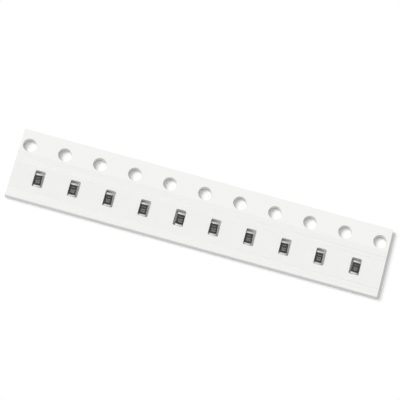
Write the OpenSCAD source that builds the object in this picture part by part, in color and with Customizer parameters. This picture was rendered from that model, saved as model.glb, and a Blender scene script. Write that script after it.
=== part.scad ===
// Cut strip of 8 mm punched paper carrier tape holding chip resistors in size 0603.
// X runs along the strip, +Y towards the sprocket holes, +Z out of the cover film.
// The origin is under the middle of the strip, on the surface that it lies on.

/* [Paper carrier] */
// Width of the carrier
tape_w = 8; // [7.5:0.25:12]
// Thickness of the carrier
carrier_t = 0.75; // [0.6:0.05:1.1]
// Bare paper left beyond the last sprocket hole where the strip was cut
cut_margin = 0.35; // [0.2:0.05:0.4]

/* [Sprocket holes] */
// Number of sprocket holes in the strip
sprocket_count = 11; // [3:1:21]
// Distance from one sprocket hole to the next
sprocket_pitch = 4; // [3.5:0.25:8]
// Diameter of a sprocket hole
sprocket_d = 1.5; // [1:0.1:1.8]
// Distance from the carrier's edge to the line of sprocket holes
sprocket_edge = 1.75; // [1.4:0.05:2]
// Rounding that the punch leaves round each hole's upper rim
rim_roll = 0.03; // [0.01:0.01:0.06]

/* [Pockets] */
// Distance from the line of sprocket holes to the line of pockets
pocket_line = 3.5; // [3.25:0.05:3.7]
// Clearance between a resistor's long side and the pocket wall
side_clearance = 0.16; // [0.12:0.01:0.25]
// Clearance between a resistor's end and the pocket wall
end_clearance = 0.15; // [0.14:0.01:0.25]
// Radius of the pocket's corners
pocket_corner_r = 0.08; // [0.03:0.01:0.1]

/* [Cover tapes] */
// Thickness of the clear top film
top_film_t = 0.05; // [0.04:0.01:0.08]
// Thickness of the bottom film
bottom_film_t = 0.05; // [0.04:0.01:0.08]
// Bare paper between the films and the sprocket holes
hole_side_margin = 0.2; // [0.05:0.05:0.3]
// Bare paper between the films and the plain edge
plain_side_margin = 0.05; // [0.05:0.05:0.15]

/* [Heat seals] */
// Width of each sealed line across the strip
seal_w = 0.5; // [0.3:0.05:0.5]
// Depth that the sealing iron presses the film into the paper
seal_depth = 0.02; // [0.01:0.005:0.03]
// Width of the slope at each side of a sealed line
seal_slope = 0.06; // [0.03:0.01:0.1]
// Loose film outside the seal nearer the sprocket holes
hole_side_lip = 0.63; // [0.4:0.01:0.7]
// Loose film outside the seal nearer the plain edge
plain_side_lip = 0.4; // [0.2:0.01:0.5]

/* [Chip resistor] */
// Length of a resistor over its terminals
chip_l = 1.6; // [1.5:0.05:1.7]
// Width of a resistor
chip_w = 0.82; // [0.7:0.01:0.9]
// Height of a resistor over its terminals
chip_h = 0.45; // [0.35:0.05:0.5]
// Gap kept between a resistor and the pocket wall that it leans towards
lean_gap = 0.02; // [0.01:0.01:0.05]

/* [Terminals] */
// Length of a terminal along the resistor
terminal_l = 0.28; // [0.15:0.01:0.35]
// Thickness of the terminal's metal
terminal_t = 0.03; // [0.02:0.005:0.04]
// Radius of the terminal's outer corners
terminal_r = 0.05; // [0.02:0.01:0.08]

/* [Coatings] */
// Thickness of the glass overcoat above the ceramic
overcoat_t = 0.035; // [0.03:0.005:0.05]
// Bare ceramic left along each long side of the overcoat
overcoat_margin = 0.02; // [0.01:0.01:0.05]
// Radius of the overcoat's corners
overcoat_r = 0.04; // [0.02:0.01:0.08]
// Thickness of the resistive film under the overcoat
element_t = 0.015; // [0.01:0.005:0.02]
// Width of the resistive film
element_w = 0.56; // [0.4:0.02:0.6]
// Width of the laser cut that trims the resistive film
trim_w = 0.04; // [0.02:0.01:0.06]
// Depth of the trim cut across the resistive film
trim_depth = 0.24; // [0.1:0.02:0.3]
// Length of the trim cut along the resistive film
trim_l = 0.26; // [0.1:0.02:0.3]

/* [Hidden] */
$fn = 64;
CORNER_FN = 32;      // segments in a full circle of a small corner
CUT = 0.5;           // how far a cutting shape runs past what it cuts

// The pieces of one resistor, in the order they are built up
CHIP_PIECES = ["substrate", "element", "overcoat", "terminal_a", "terminal_b"];

// How each resistor rests in its pocket: the share of its play used sideways and
// endways, from -1 to 1, and its turn in degrees
RESTS = [
    [-1, -0.6, 3.5], [-1, -0.5, 1], [-1, -0.5, 3], [-0.9, -0.6, 1.2], [1, -0.5, -1],
    [-1, -0.6, 3.5], [-1, -0.5, 2], [-0.9, -0.6, 2.5], [-1, -0.5, 1.5], [1, -0.4, -3.5],
];

chip_count = sprocket_count - 1;
half_l = (chip_count * sprocket_pitch + sprocket_d) / 2 + cut_margin;
sprocket_y = tape_w / 2 - sprocket_edge;
pocket_y = sprocket_y - pocket_line;
pocket_w = chip_w + 2 * side_clearance;
pocket_l = chip_l + 2 * end_clearance;

carrier_z = bottom_film_t;
carrier_top = carrier_z + carrier_t;
film_top_y = sprocket_y - sprocket_d / 2 - hole_side_margin;
film_low_y = -tape_w / 2 + plain_side_margin;

body_l = chip_l - 2 * terminal_t;
body_h = chip_h - 2 * terminal_t;
body_top = terminal_t + body_h;
coat_l = chip_l - 2 * terminal_l;

// X of a sprocket hole, counted from 1 at the left end
function sprocket_x(n) = (n - 1 - chip_count / 2) * sprocket_pitch;

// X of a pocket, midway between two sprocket holes
function pocket_x(n) = sprocket_x(n) + sprocket_pitch / 2;

// How far a turned resistor can move each way from the middle of a pocket of this size
function play(pocket, along, across, turn) =
    (pocket - along * cos(turn) - across * abs(sin(turn))) / 2 - lean_gap;

// One sealed line across the strip, from its upper side down, in a surface at height z
function seal_dip(y, z) = [
    [y, z],
    [y - seal_slope, z - seal_depth],
    [y - seal_w + seal_slope, z - seal_depth],
    [y - seal_w, z],
];

// Both sealed lines, in a surface at height z
function seal_dips(z) = concat(
    seal_dip(film_top_y - hole_side_lip, z),
    seal_dip(film_low_y + plain_side_lip + seal_w, z)
);

// A quarter circle of points round c, from the angle start
function quarter(c, r, start) = [
    for (i = [0 : CORNER_FN / 4])
        let (angle = start + i * 360 / CORNER_FN) c + r * [cos(angle), sin(angle)]
];

// Outline of a plate with round corners, centred
function round_plate(w, l, r) = concat(
    quarter([w / 2 - r, l / 2 - r], r, 0),
    quarter([r - w / 2, l / 2 - r], r, 90),
    quarter([r - w / 2, r - l / 2], r, 180),
    quarter([w / 2 - r, r - l / 2], r, 270)
);

// Runs a section, drawn as Y and Z, along the whole strip
module along_strip() {
    rotate([90, 0, 90])
        linear_extrude(2 * half_l, center = true)
            children();
}

module sprocket_hole() {
    translate([0, 0, carrier_z - CUT])
        cylinder(h = carrier_t + 2 * CUT, d = sprocket_d);
    translate([0, 0, carrier_top - rim_roll])
        cylinder(h = 2 * rim_roll, r1 = sprocket_d / 2, r2 = sprocket_d / 2 + 2 * rim_roll);
}

module pocket() {
    translate([0, 0, carrier_z - CUT])
        linear_extrude(carrier_t + 2 * CUT)
            polygon(round_plate(pocket_w, pocket_l, pocket_corner_r));
}

// Punched through for the sprocket and the pockets, and pressed in along the two seals
module carrier_tape() {
    color("whitesmoke")
        difference() {
            along_strip()
                polygon(concat(
                    [[tape_w / 2, carrier_z], [tape_w / 2, carrier_top]],
                    seal_dips(carrier_top),
                    [[-tape_w / 2, carrier_top], [-tape_w / 2, carrier_z]]
                ));
            for (n = [1 : sprocket_count])
                translate([sprocket_x(n), sprocket_y, 0]) sprocket_hole();
            for (n = [1 : chip_count])
                translate([pocket_x(n), pocket_y, 0]) pocket();
        }
}

// Closes the pockets from below
module bottom_cover_tape() {
    color("gainsboro")
        translate([-half_l, film_low_y, 0])
            cube([2 * half_l, film_top_y - film_low_y, bottom_film_t]);
}

// Lies on the carrier, bonded along the two seals
module top_cover_tape() {
    film_top = carrier_top + top_film_t;
    under = concat([[film_top_y, carrier_top]], seal_dips(carrier_top), [[film_low_y, carrier_top]]);
    over = concat([[film_top_y, film_top]], seal_dips(film_top), [[film_low_y, film_top]]);
    color("aliceblue", 0.4)
        along_strip()
            polygon(concat(under, [for (i = [len(over) - 1 : -1 : 0]) over[i]]));
}

// Alumina block, held off the pocket floor by the terminals
module substrate() {
    color("ivory")
        translate([-chip_w / 2, -body_l / 2, terminal_t])
            cube([chip_w, body_l, body_h]);
}

// Resistive film from terminal to terminal, with the L-shaped cut that trims its value
module element() {
    color("dimgray")
        translate([0, 0, body_top])
            linear_extrude(element_t)
                difference() {
                    square([element_w, coat_l], center = true);
                    translate([element_w / 2 - trim_depth, -trim_w / 2])
                        square([trim_depth + CUT, trim_w]);
                    translate([element_w / 2 - trim_depth, -trim_w / 2])
                        square([trim_w, trim_l + trim_w]);
                }
}

// Dark glass fired over the resistive film, between the terminals
module overcoat() {
    color("darkslategray")
        difference() {
            translate([0, 0, body_top])
                linear_extrude(overcoat_t)
                    polygon(round_plate(chip_w - 2 * overcoat_margin, coat_l, overcoat_r));
            element();
        }
}

// Metal cap folded over one end of the block: side is 1 for the end nearer the sprocket holes
module terminal(side) {
    color("silver")
        mirror([0, (1 - side) / 2, 0])
            rotate([90, 0, 90])
                linear_extrude(chip_w, center = true)
                    difference() {
                        polygon(concat(
                            [[chip_l / 2 - terminal_l, 0]],
                            quarter([chip_l / 2 - terminal_r, terminal_r], terminal_r, 270),
                            quarter([chip_l / 2 - terminal_r, chip_h - terminal_r], terminal_r, 0),
                            [[chip_l / 2 - terminal_l, chip_h]]
                        ));
                        translate([0, terminal_t]) square([body_l / 2, body_h]);
                    }
}

// Puts a piece of resistor n on the bottom film, leaning as RESTS says
module in_pocket(n) {
    rest = RESTS[(n - 1) % len(RESTS)];
    turn = rest[2];
    translate([
        pocket_x(n) + rest[0] * play(pocket_w, chip_w, chip_l, turn),
        pocket_y + rest[1] * play(pocket_l, chip_l, chip_w, turn),
        carrier_z,
    ])
        rotate([0, 0, turn]) children();
}

carrier_tape();
bottom_cover_tape();
top_cover_tape();
for (n = [1 : chip_count]) {
    in_pocket(n) substrate();
    in_pocket(n) element();
    in_pocket(n) overcoat();
    in_pocket(n) terminal(1);
    in_pocket(n) terminal(-1);
}
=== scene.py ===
import math

import bpy
from mathutils import Matrix, Vector, noise


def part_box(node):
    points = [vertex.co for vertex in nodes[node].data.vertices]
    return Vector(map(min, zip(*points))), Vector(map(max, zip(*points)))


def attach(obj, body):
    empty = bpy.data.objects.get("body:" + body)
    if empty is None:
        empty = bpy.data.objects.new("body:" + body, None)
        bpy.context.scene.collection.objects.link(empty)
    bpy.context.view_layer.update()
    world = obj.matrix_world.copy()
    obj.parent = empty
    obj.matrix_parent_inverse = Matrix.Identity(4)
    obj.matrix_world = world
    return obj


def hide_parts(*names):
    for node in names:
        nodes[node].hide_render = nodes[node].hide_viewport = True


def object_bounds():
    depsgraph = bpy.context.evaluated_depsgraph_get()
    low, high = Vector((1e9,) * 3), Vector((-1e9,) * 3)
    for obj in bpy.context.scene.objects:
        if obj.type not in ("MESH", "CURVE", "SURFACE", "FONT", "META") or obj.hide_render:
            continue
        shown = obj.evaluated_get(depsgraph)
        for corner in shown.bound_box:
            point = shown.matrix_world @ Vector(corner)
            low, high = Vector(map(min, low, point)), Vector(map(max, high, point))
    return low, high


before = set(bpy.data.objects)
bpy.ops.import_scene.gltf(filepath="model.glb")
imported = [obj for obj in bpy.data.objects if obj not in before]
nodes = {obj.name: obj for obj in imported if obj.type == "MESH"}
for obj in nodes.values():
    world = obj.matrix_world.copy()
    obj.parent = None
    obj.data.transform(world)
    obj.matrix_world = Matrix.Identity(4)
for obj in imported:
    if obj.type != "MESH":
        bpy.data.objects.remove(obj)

cad_low, cad_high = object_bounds()


# Camera: a long lens held well above the strip, tipped a little towards its plain edge,
# and rolled so that the strip runs down to the right.
MM = 0.001
camera_tip = math.radians(18.2)
camera_roll = math.radians(15.39)
camera_distance = 244 * MM
aim_above_strip = 1.32 * MM
lens_length = 200

back = Vector((0, -math.sin(camera_tip), math.cos(camera_tip)))
level_up = Vector((0, math.cos(camera_tip), math.sin(camera_tip)))
right = math.cos(camera_roll) * Vector((1, 0, 0)) + math.sin(camera_roll) * level_up
up = back.cross(right)
aim = Vector((0, 0, cad_high.z)) + aim_above_strip * up

bpy.ops.object.select_all(action="DESELECT")
bpy.ops.object.camera_add(location=aim + camera_distance * back)
camera = bpy.context.object
camera_turn = Matrix((right, up, back)).transposed().to_4x4()
camera.matrix_world = Matrix.Translation(camera.location) @ camera_turn
camera.data.lens = lens_length
camera.data.clip_start = 5 * MM
camera.data.clip_end = 20
bpy.context.scene.camera = camera


# Punched paper carrier: bleached board slit to 8 mm, with the sprocket holes and the pockets
# punched through by dies. The slit edges are clean; the punched walls show the board's plies
# and loose fibres, and the punch rolls the rims over a little.
edge_softness = 0.012 * MM
weld_distance = 0.0005 * MM
flat_angle = math.radians(0.5)
sharp_angle = math.radians(35)
smooth_angle = math.radians(30)
ply_heights = [height * MM for height in (0.19, 0.31, 0.43, 0.55, 0.67)]
ply_roughness = 0.007 * MM
fibre_scale = 9000
height_tolerance = 0.0001 * MM
slit_band = 0.1 * MM
wall_cutoff = 0.5
flat_cutoff = 0.999
pocket_count = 10
pocket_pitch = 4 * MM
pocket_line = -1.25 * MM
pocket_half = Vector((0.57 * MM, 0.95 * MM))
pocket_middles = [(n - (pocket_count - 1) / 2) * pocket_pitch for n in range(pocket_count)]
new_die_corner = 0.08 * MM
worn_die_corner = 0.15 * MM


def select_only(piece):
    bpy.ops.object.select_all(action="DESELECT")
    piece.select_set(True)
    bpy.context.view_layer.objects.active = piece


def weld(piece):
    """Merge the points of a piece that lie on each other, leaving it in edit mode."""
    select_only(piece)
    bpy.ops.object.mode_set(mode="EDIT")
    bpy.ops.mesh.select_all(action="SELECT")
    bpy.ops.mesh.remove_doubles(threshold=weld_distance)


def clean_copy(node, name):
    """A new piece with a CAD node's mesh, its loose triangles merged into whole faces."""
    piece = bpy.data.objects.new(name, nodes[node].data.copy())
    bpy.context.scene.collection.objects.link(piece)
    piece.data.materials.clear()
    select_only(piece)
    bpy.ops.mesh.customdata_custom_splitnormals_clear()
    weld(piece)
    bpy.ops.mesh.dissolve_limited(angle_limit=flat_angle)
    bpy.ops.object.mode_set(mode="OBJECT")
    return piece


def soften_edges(piece, width):
    """Round a piece's sharp edges over, and weld what the rounding leaves on itself."""
    select_only(piece)
    bevel = piece.modifiers.new("soft edges", "BEVEL")
    bevel.width = width
    bevel.segments = 2
    bevel.limit_method = "ANGLE"
    bevel.angle_limit = sharp_angle
    bpy.ops.object.modifier_apply(modifier=bevel.name)
    weld(piece)
    bpy.ops.mesh.dissolve_degenerate(threshold=weld_distance)
    bpy.ops.object.mode_set(mode="OBJECT")
    bpy.ops.object.shade_smooth_by_angle(angle=smooth_angle)


def place_in_mm(tree):
    """The place on the object in millimetres, for patterns at their real size."""
    place = tree.nodes.new("ShaderNodeTexCoord")
    in_mm = tree.nodes.new("ShaderNodeMapping")
    in_mm.inputs["Scale"].default_value = (1000, 1000, 1000)
    tree.links.new(place.outputs["Object"], in_mm.inputs["Vector"])
    return in_mm.outputs["Vector"]


def finish_material(name):
    """A new material, its tree, its Principled shader and the place in millimetres."""
    made = bpy.data.materials.new(name)
    made.use_nodes = True
    tree = made.node_tree
    return made, tree, tree.nodes["Principled BSDF"], place_in_mm(tree)


def stretched(tree, vector, scale):
    """The same place, scaled unevenly for streaks, plies and grain."""
    mapping = tree.nodes.new("ShaderNodeMapping")
    mapping.inputs["Scale"].default_value = scale
    tree.links.new(vector, mapping.inputs["Vector"])
    return mapping.outputs["Vector"]


def mottle(tree, vector, scale, detail=4, roughness=0.6):
    texture = tree.nodes.new("ShaderNodeTexNoise")
    texture.inputs["Scale"].default_value = scale
    texture.inputs["Detail"].default_value = detail
    texture.inputs["Roughness"].default_value = roughness
    tree.links.new(vector, texture.inputs["Vector"])
    return texture.outputs["Fac"]


def colours(tree, factor, *stops):
    """A ramp from (position, colour) stops."""
    ramp = tree.nodes.new("ShaderNodeValToRGB")
    elements = ramp.color_ramp.elements
    while len(elements) < len(stops):
        elements.new(0.5)
    for element, (position, colour) in zip(elements, stops):
        element.position = position
        element.color = (*colour, 1)
    tree.links.new(factor, ramp.inputs["Fac"])
    return ramp.outputs["Color"]


def relief(tree, shader, height, strength, distance):
    bump = tree.nodes.new("ShaderNodeBump")
    bump.inputs["Strength"].default_value = strength
    bump.inputs["Distance"].default_value = distance
    tree.links.new(height, bump.inputs["Height"])
    tree.links.new(bump.outputs["Normal"], shader.inputs["Normal"])


paper_face, tree, shader, vector = finish_material("calendered paper")
fibres = mottle(tree, stretched(tree, vector, (1, 2.2, 1)), scale=7, detail=6)
tree.links.new(
    colours(tree, fibres, (0.3, (0.889, 0.889, 0.872)), (0.7, (0.903, 0.903, 0.888))),
    shader.inputs["Base Color"],
)
shader.inputs["Roughness"].default_value = 0.82
shader.inputs["Specular IOR Level"].default_value = 0.3
relief(tree, shader, fibres, strength=0.12, distance=0.004 * MM)

paper_cut, tree, shader, vector = finish_material("cut paper")
layered = stretched(tree, vector, (2.5, 2.5, 26))
plies = mottle(tree, layered, scale=1.0, detail=5, roughness=0.7)
tree.links.new(
    colours(
        tree, plies,
        (0.25, (0.85, 0.85, 0.838)), (0.5, (0.89, 0.89, 0.88)), (0.75, (0.93, 0.93, 0.92)),
    ),
    shader.inputs["Base Color"],
)
shader.inputs["Roughness"].default_value = 0.95
shader.inputs["Specular IOR Level"].default_value = 0.1
relief(tree, shader, plies, strength=0.35, distance=0.012 * MM)

carrier = clean_copy("carrier_tape", "punched_paper")
# The pocket die has worn rounder in its corners.
arc_middle = pocket_half - Vector((new_die_corner, new_die_corner))
worn_arc_middle = pocket_half - Vector((worn_die_corner, worn_die_corner))
for vertex in carrier.data.vertices:
    pocket_x = min(pocket_middles, key=lambda middle: abs(vertex.co.x - middle))
    x, y = vertex.co.x - pocket_x, vertex.co.y - pocket_line
    from_arc = Vector((abs(x), abs(y))) - arc_middle
    in_pocket = max(from_arc) < new_die_corner + weld_distance
    if in_pocket and min(from_arc) > -weld_distance:
        worn = worn_arc_middle + from_arc.normalized() * worn_die_corner
        vertex.co.x = pocket_x + math.copysign(worn.x, x)
        vertex.co.y = pocket_line + math.copysign(worn.y, y)
soften_edges(carrier, edge_softness)
bpy.ops.object.mode_set(mode="EDIT")
for height in ply_heights:
    bpy.ops.mesh.select_all(action="SELECT")
    bpy.ops.mesh.bisect(plane_co=(0, 0, height), plane_no=(0, 0, 1))
bpy.ops.object.mode_set(mode="OBJECT")
slit_x, slit_y = cad_high.x - slit_band, cad_high.y - slit_band
for vertex in carrier.data.vertices:
    on_ply = any(abs(vertex.co.z - height) < height_tolerance for height in ply_heights)
    on_slit = abs(vertex.co.x) > slit_x or abs(vertex.co.y) > slit_y
    if on_ply and not on_slit:
        outward = Vector((vertex.normal.x, vertex.normal.y, 0)).normalized()
        vertex.co += outward * ply_roughness * noise.noise(vertex.co * fibre_scale)
carrier.data.materials.append(paper_face)
carrier.data.materials.append(paper_cut)
for face in carrier.data.polygons:
    face.material_index = 1 if abs(face.normal.z) < wall_cutoff else 0
    face.use_smooth = abs(face.normal.z) < flat_cutoff
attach(carrier, "root")
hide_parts("carrier_tape")


# Closing film: a thin cloudy film stuck under the pockets once they are punched. The
# resistors stand on it, and it stops short of the sprocket holes.
film_clearance = 0.004 * MM
film_softness = 0.006 * MM

closing_finish, tree, shader, vector = finish_material("cloudy closing film")
haze = mottle(tree, stretched(tree, vector, (0.5, 2, 1)), scale=1.6, detail=3)
tree.links.new(
    colours(tree, haze, (0.3, (0.78, 0.78, 0.76)), (0.7, (0.86, 0.86, 0.84))),
    shader.inputs["Base Color"],
)
shader.inputs["Roughness"].default_value = 0.38
shader.inputs["Alpha"].default_value = 0.8
relief(tree, shader, haze, strength=0.15, distance=0.006 * MM)

closing = clean_copy("bottom_cover_tape", "closing_film")
closing_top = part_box("bottom_cover_tape")[1].z
for vertex in closing.data.vertices:
    if vertex.co.z > closing_top / 2:
        vertex.co.z = closing_top - film_clearance
soften_edges(closing, film_softness)
closing.data.materials.append(closing_finish)
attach(closing, "root")
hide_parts("bottom_cover_tape")


# Resistor finishes: white alumina, a black screened resistive film, dark glass fired over it,
# matt tin on the ends, and pale marking ink.
alumina, tree, shader, vector = finish_material("alumina")
grain = mottle(tree, vector, scale=22, detail=5)
tree.links.new(
    colours(tree, grain, (0.3, (0.80, 0.79, 0.75)), (0.7, (0.88, 0.87, 0.83))),
    shader.inputs["Base Color"],
)
shader.inputs["Roughness"].default_value = 0.62
relief(tree, shader, grain, strength=0.3, distance=0.004 * MM)

resistive_film, tree, shader, vector = finish_material("screened resistive film")
screen = mottle(tree, vector, scale=30, detail=3)
tree.links.new(
    colours(tree, screen, (0.3, (0.02, 0.02, 0.022)), (0.7, (0.05, 0.05, 0.055))),
    shader.inputs["Base Color"],
)
shader.inputs["Roughness"].default_value = 0.6
relief(tree, shader, screen, strength=0.3, distance=0.003 * MM)

dark_glass, tree, shader, vector = finish_material("dark fired glass")
flow = mottle(tree, vector, scale=5, detail=4)
tree.links.new(
    colours(tree, flow, (0.3, (0.006, 0.006, 0.005)), (0.7, (0.012, 0.013, 0.010))),
    shader.inputs["Base Color"],
)
shader.inputs["Roughness"].default_value = 0.42
shader.inputs["Specular IOR Level"].default_value = 0.15
relief(tree, shader, flow, strength=0.35, distance=0.01 * MM)

matt_tin, tree, shader, vector = finish_material("matt tin plate")
grain = mottle(tree, vector, scale=18, detail=6, roughness=0.7)
tree.links.new(
    colours(tree, grain, (0.25, (0.45, 0.45, 0.435)), (0.75, (0.58, 0.58, 0.565))),
    shader.inputs["Base Color"],
)
shader.inputs["Metallic"].default_value = 1
shader.inputs["Roughness"].default_value = 0.6
relief(tree, shader, grain, strength=0.5, distance=0.01 * MM)

marking_ink, tree, shader, vector = finish_material("pale marking ink")
screen = mottle(tree, vector, scale=26, detail=3)
tree.links.new(
    colours(tree, screen, (0.3, (0.30, 0.30, 0.29)), (0.7, (0.40, 0.40, 0.39))),
    shader.inputs["Base Color"],
)
shader.inputs["Roughness"].default_value = 0.6
relief(tree, shader, screen, strength=0.2, distance=0.003 * MM)


# Resistors: each block is sawn from an alumina sheet, dipped in tin at both ends, and lies
# a little skew in its pocket. The turn of each is read from its two end caps.
cap_softness = 0.018 * MM
glass_softness = 0.014 * MM
block_softness = 0.006 * MM
# The glass runs out a little as it is fired, to the block's sides and over the end caps.
glass_spread = Matrix.Diagonal((1.08, 1.10, 1, 1))


def box_middle(node):
    low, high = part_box(node)
    return (low + high) / 2


def resistor_place(number):
    """Where resistor number lies: its middle on the pocket floor, and its turn."""
    far = box_middle(f"resistor_{number}_terminal_a")
    near = box_middle(f"resistor_{number}_terminal_b")
    along = far - near
    middle = (far + near) / 2
    turn = Matrix.Rotation(math.atan2(-along.x, along.y), 4, "Z")
    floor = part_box(f"resistor_{number}_terminal_a")[0].z
    return Matrix.Translation((middle.x, middle.y, floor)) @ turn


for number in range(1, pocket_count + 1):
    node = f"resistor_{number}_element"
    nodes[node].data.materials.clear()
    nodes[node].data.materials.append(resistive_film)
    for part, finish, softness, slot in (
        ("substrate", alumina, block_softness, "alumina"),
        ("overcoat", dark_glass, glass_softness, "glass_overcoat"),
        ("terminal_a", matt_tin, cap_softness, "tin_plate"),
        ("terminal_b", matt_tin, cap_softness, "tin_plate"),
    ):
        node = f"resistor_{number}_{part}"
        piece = clean_copy(node, f"resistor_{number}_{part}_finished")
        if part == "overcoat":
            place = resistor_place(number)
            piece.data.transform(place @ glass_spread @ place.inverted())
        soften_edges(piece, softness)
        piece.data.materials.append(finish)
        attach(piece, "root")
        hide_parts(node)


# Marking: a plain three-figure value in pale ink, printed along each resistor's glass from
# its sprocket-hole end. The figures are made once and copied to each resistor.
figure_height = 0.46 * MM
figure_height_per_size = 0.73
figure_narrowing = 0.62
figure_places = (("1", -0.28 * MM), ("5", 0.03 * MM), ("0", 0.25 * MM))
ink_thickness = 0.002 * MM

bpy.ops.object.select_all(action="DESELECT")
figures = []
for figure, along in figure_places:
    bpy.ops.object.text_add(location=(0, 0, 0))
    text = bpy.context.object
    text.data.body = figure
    text.data.align_x = "CENTER"
    text.data.align_y = "CENTER"
    text.data.size = figure_height / figure_height_per_size
    text.data.extrude = ink_thickness / 2
    text.data.resolution_u = 4
    bpy.ops.object.convert(target="MESH")
    text.scale = (figure_narrowing, 1, 1)
    text.location = (along, 0, 0)
    bpy.ops.object.transform_apply(location=True, rotation=False, scale=True)
    figures.append(text)
select_only(figures[0])
for text in figures[1:]:
    text.select_set(True)
bpy.ops.object.join()
marking = bpy.context.object
marking.rotation_euler = (0, 0, -math.pi / 2)
glass_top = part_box("resistor_1_overcoat")[1].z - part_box("resistor_1_terminal_a")[0].z
marking.location = (0, 0, glass_top + ink_thickness / 2)
bpy.ops.object.transform_apply(location=True, rotation=True, scale=True)
marking.data.materials.clear()
marking.data.materials.append(marking_ink)
for number in range(1, pocket_count + 1):
    piece = bpy.data.objects.new(f"resistor_{number}_marking", marking.data.copy())
    bpy.context.scene.collection.objects.link(piece)
    piece.data.transform(resistor_place(number))
    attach(piece, "root")
bpy.data.objects.remove(marking)


# Cover film: clear film run over the filled pockets and bonded to the paper by a heated shoe
# along two lines, which it presses in. It draws down a little over each open pocket.
seal_lines = ((0.67, 0.17), (-3.05, -3.55))
seal_slope = 0.06
seal_depth = 0.02 * MM
film_thickness = 0.042 * MM
draw_down = 0.022 * MM
steps_over_pocket = 10

film_low, film_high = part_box("top_cover_tape")
paper_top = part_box("carrier_tape")[1].z
columns = [film_low.x]
for middle in pocket_middles:
    columns += [
        middle + pocket_half[0] * (2 * step / steps_over_pocket - 1)
        for step in range(-1, steps_over_pocket + 2)
    ]
columns.append(film_high.x)
seal_rows = [
    row * MM
    for top, bottom in seal_lines
    for row in (top, top - seal_slope, bottom + seal_slope, bottom)
]
rows = sorted(
    [film_low.y, film_high.y, *seal_rows]
    + [
        pocket_line + pocket_half[1] * (step / steps_over_pocket - 1)
        for step in range(-1, 2 * steps_over_pocket + 2)
    ]
)


def seal_press(y):
    """How far the paper is pressed down at y, from 0 to 1."""
    for top, bottom in seal_lines:
        inside = min(top * MM - y, y - bottom * MM)
        if inside > 0:
            return min(1, inside / (seal_slope * MM))
    return 0


def pocket_draw(x, y):
    """How far the film is drawn into the nearest pocket, from 0 to 1."""
    nearest = min(pocket_middles, key=lambda middle: abs(x - middle))
    across = abs(x - nearest) / pocket_half[0]
    along = abs(y - pocket_line) / pocket_half[1]
    if across >= 1 or along >= 1:
        return 0
    return (1 - across**2) ** 2 * (1 - along**2) ** 2


bpy.ops.object.select_all(action="DESELECT")
bpy.ops.mesh.primitive_grid_add(
    x_subdivisions=len(columns) - 1, y_subdivisions=len(rows) - 1, size=1, location=(0, 0, 0)
)
film = bpy.context.object
film.name = "cover_film"
for vertex in film.data.vertices:
    x = columns[round((vertex.co.x + 0.5) * (len(columns) - 1))]
    y = rows[round((vertex.co.y + 0.5) * (len(rows) - 1))]
    drop = seal_depth * seal_press(y) + draw_down * pocket_draw(x, y)
    vertex.co = (x, y, paper_top + film_clearance - drop)
thicken = film.modifiers.new("film thickness", "SOLIDIFY")
thicken.thickness = film_thickness
thicken.offset = 1
bpy.ops.object.modifier_apply(modifier=thicken.name)
bpy.ops.object.shade_smooth_by_angle(angle=smooth_angle)


def bare_tree(holder, output_kind):
    """The node tree of a material or world, emptied but for its output."""
    holder.use_nodes = True
    holder.node_tree.nodes.clear()
    return holder.node_tree, holder.node_tree.nodes.new(output_kind)


clear_film = bpy.data.materials.new("clear cover film")
tree, output = bare_tree(clear_film, "ShaderNodeOutputMaterial")
vector = place_in_mm(tree)
through = tree.nodes.new("ShaderNodeBsdfTransparent")
gloss = tree.nodes.new("ShaderNodeBsdfGlossy")
gloss.inputs["Roughness"].default_value = 0.14
haze = tree.nodes.new("ShaderNodeBsdfDiffuse")
haze.inputs["Color"].default_value = (0.60, 0.60, 0.60, 1)
ripple = mottle(tree, stretched(tree, vector, (0.35, 1, 1)), scale=0.9, detail=2)
bump = tree.nodes.new("ShaderNodeBump")
bump.inputs["Strength"].default_value = 0.2
bump.inputs["Distance"].default_value = 0.05 * MM
tree.links.new(ripple, bump.inputs["Height"])
tree.links.new(bump.outputs["Normal"], gloss.inputs["Normal"])
# The film mirrors little head on and much more at a low angle.
mirror_steepness = 5
facing = tree.nodes.new("ShaderNodeLayerWeight")
facing.inputs["Blend"].default_value = 0.5
steep = tree.nodes.new("ShaderNodeMath")
steep.operation = "POWER"
steep.inputs[1].default_value = mirror_steepness
tree.links.new(facing.outputs["Facing"], steep.inputs[0])
mirrored = tree.nodes.new("ShaderNodeMapRange")
mirrored.inputs["To Min"].default_value = 0.015
mirrored.inputs["To Max"].default_value = 0.8
tree.links.new(steep.outputs[0], mirrored.inputs["Value"])
# Its loose middle is a little cloudier than the bonded lines.
across = tree.nodes.new("ShaderNodeSeparateXYZ")
tree.links.new(vector, across.inputs[0])
cloud_zones = (
    (-3.95, 0.003), (-3.60, 0.006), (-3.50, 0.006), (-3.10, 0.006), (-3.00, 0.012),
    (0.12, 0.012), (0.24, 0.006), (0.60, 0.006), (0.72, 0.009), (1.30, 0.009),
)
cloud_low, cloud_high = cloud_zones[0][0], cloud_zones[-1][0]
zone = tree.nodes.new("ShaderNodeMapRange")
zone.inputs["From Min"].default_value = cloud_low
zone.inputs["From Max"].default_value = cloud_high
tree.links.new(across.outputs["Y"], zone.inputs["Value"])
cloud = colours(
    tree, zone.outputs["Result"],
    *(((y - cloud_low) / (cloud_high - cloud_low), (share,) * 3) for y, share in cloud_zones),
)
hazy = tree.nodes.new("ShaderNodeMixShader")
tree.links.new(cloud, hazy.inputs["Fac"])
tree.links.new(through.outputs[0], hazy.inputs[1])
tree.links.new(haze.outputs[0], hazy.inputs[2])
shiny = tree.nodes.new("ShaderNodeMixShader")
tree.links.new(mirrored.outputs["Result"], shiny.inputs["Fac"])
tree.links.new(hazy.outputs[0], shiny.inputs[1])
tree.links.new(gloss.outputs[0], shiny.inputs[2])
tree.links.new(shiny.outputs[0], output.inputs["Surface"])
film.data.materials.append(clear_film)
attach(film, "root")
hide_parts("top_cover_tape")


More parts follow.
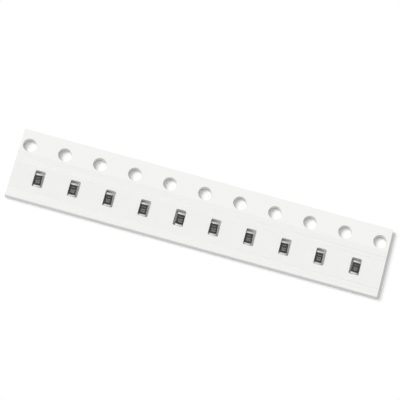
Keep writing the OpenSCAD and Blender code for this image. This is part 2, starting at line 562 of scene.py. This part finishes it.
# Floor and light: a white table under the strip, one large soft lamp from the left, and an
# even white room. Table and room look white, and give back a little less light than that.
room_share = 0.5
lamp_share = 0.5
lamp_direction = Vector((-0.544, 0.100, 0.833))
lamp_spread = math.radians(30)
floor_half = 1.5
table_white = 1.005
table_bounce = 0.8
table_drop = 0.01 * MM


def seen_or_lit(tree, seen, lit):
    """One value for what is seen, mirrored or through film, and one for the light given."""
    path = tree.nodes.new("ShaderNodeLightPath")
    straight = path.outputs["Is Camera Ray"]
    for kind in ("Is Glossy Ray", "Is Transmission Ray"):
        either = tree.nodes.new("ShaderNodeMath")
        either.operation = "MAXIMUM"
        tree.links.new(straight, either.inputs[0])
        tree.links.new(path.outputs[kind], either.inputs[1])
        straight = either.outputs[0]
    value = tree.nodes.new("ShaderNodeMapRange")
    value.inputs["To Min"].default_value = lit
    value.inputs["To Max"].default_value = seen
    tree.links.new(straight, value.inputs["Value"])
    return value.outputs["Result"]


bpy.ops.object.select_all(action="DESELECT")
bpy.ops.mesh.primitive_plane_add(size=2 * floor_half, location=(0, 0, -table_drop))
table = bpy.context.object
table.name = "table"
white_table = bpy.data.materials.new("white table")
tree, output = bare_tree(white_table, "ShaderNodeOutputMaterial")
matt = tree.nodes.new("ShaderNodeBsdfDiffuse")
tree.links.new(seen_or_lit(tree, table_white, table_bounce), matt.inputs["Color"])
tree.links.new(matt.outputs[0], output.inputs["Surface"])
table.data.materials.append(white_table)

bpy.ops.object.light_add(type="SUN", location=lamp_direction)
lamp = bpy.context.object
lamp.rotation_euler = lamp_direction.to_track_quat("Z", "Y").to_euler()
lamp.data.energy = lamp_share * math.pi / lamp_direction.normalized().z
lamp.data.angle = lamp_spread

world = bpy.data.worlds.new("white room")
bpy.context.scene.world = world
tree, output = bare_tree(world, "ShaderNodeOutputWorld")
room = tree.nodes.new("ShaderNodeBackground")
room.inputs["Color"].default_value = (1, 1, 1, 1)
tree.links.new(seen_or_lit(tree, 1, room_share), room.inputs["Strength"])
tree.links.new(room.outputs[0], output.inputs["Surface"])
bpy.context.scene.view_settings.view_transform = "Standard"
